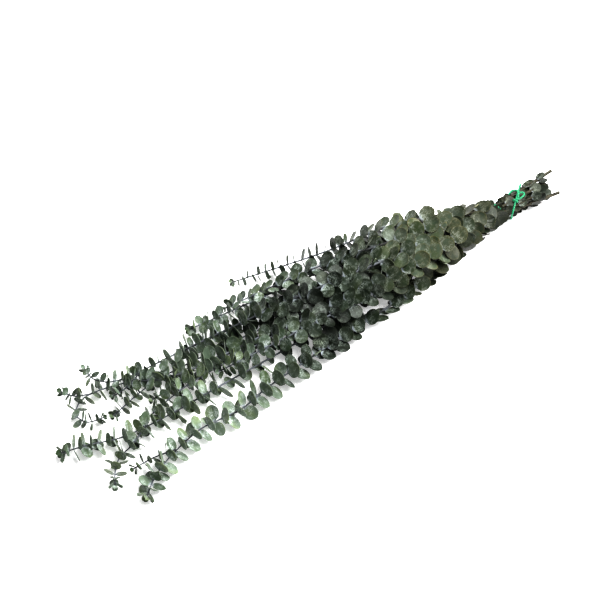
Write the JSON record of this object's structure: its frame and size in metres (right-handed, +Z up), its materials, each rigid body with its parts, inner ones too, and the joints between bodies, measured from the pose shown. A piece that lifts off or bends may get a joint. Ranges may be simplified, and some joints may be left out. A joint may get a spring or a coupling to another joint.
{
  "type": "bunch of eucalyptus branches",
  "caption": "Tied bunch of round-leaved eucalyptus branches lying flat, narrow at the string tie and fanned out at the leafy tips.",
  "frame": {"origin": "on the surface the bunch lies on, under the middle of its bounding box", "axes": "+Z up from the surface, +X along the bunch from the leafy tips to the cut ends"},
  "size_m": [0.6822, 0.1919, 0.0602],
  "materials": {
    "foliage": "matt grey-green leaves with a pale waxy bloom on grey-brown stems",
    "tie": "satin bright green soft plastic string"
  },
  "bodies": {
    "root": {"branch_01": "foliage", "branch_02": "foliage", "branch_03": "foliage", "branch_04": "foliage", "branch_05": "foliage", "branch_06": "foliage", "branch_07": "foliage", "branch_08": "foliage", "branch_09": "foliage", "branch_10": "foliage", "branch_11": "foliage", "branch_12": "foliage", "green_tie": "tie"}
  },
  "joints": []
}
